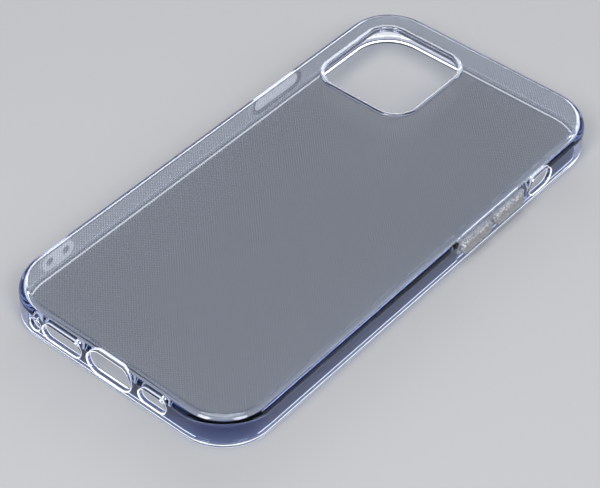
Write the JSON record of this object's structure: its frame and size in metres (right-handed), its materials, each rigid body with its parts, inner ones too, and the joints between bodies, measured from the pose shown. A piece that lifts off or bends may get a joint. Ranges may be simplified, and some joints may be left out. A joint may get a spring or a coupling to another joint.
{
  "type": "phone case",
  "caption": "Clear slim back case for a smartphone: hazy panel, soft clear bumper, raised camera guard, frosted button covers and strap pad.",
  "frame": {"origin": "on the rest plane under the middle of the footprint, case lying face down", "axes": "+Z out of the back, +Y to the camera end, +X to the side with the volume covers"},
  "size_m": [0.0762, 0.15, 0.0101],
  "materials": {
    "clear_bumper": "polished clear",
    "hazy_panel": "gloss outside, fine dots inside",
    "frosted_cover": "frosted"
  },
  "bodies": {
    "case": {"bumper_frame": "clear_bumper", "screen_lip": "clear_bumper", "back_panel": "hazy_panel", "camera_guard_ring": "clear_bumper", "power_button_web": "clear_bumper", "volume_buttons_web": "clear_bumper", "lanyard_pad": "frosted_cover"},
    "power_button": {"power_button_cover": "frosted_cover"},
    "volume_up_button": {"volume_up_button_cover": "frosted_cover"},
    "volume_down_button": {"volume_down_button_cover": "frosted_cover"}
  },
  "joints": [
    {"name": "power_button_press", "type": "slide", "parent": "case", "child": "power_button", "axis": [1, 0, 0], "range_m": [0, 0.0004], "stiffness_N_per_m": 1500},
    {"name": "volume_up_button_press", "type": "slide", "parent": "case", "child": "volume_up_button", "axis": [-1, 0, 0], "range_m": [0, 0.0004], "stiffness_N_per_m": 1500},
    {"name": "volume_down_button_press", "type": "slide", "parent": "case", "child": "volume_down_button", "axis": [-1, 0, 0], "range_m": [0, 0.0004], "stiffness_N_per_m": 1500}
  ]
}
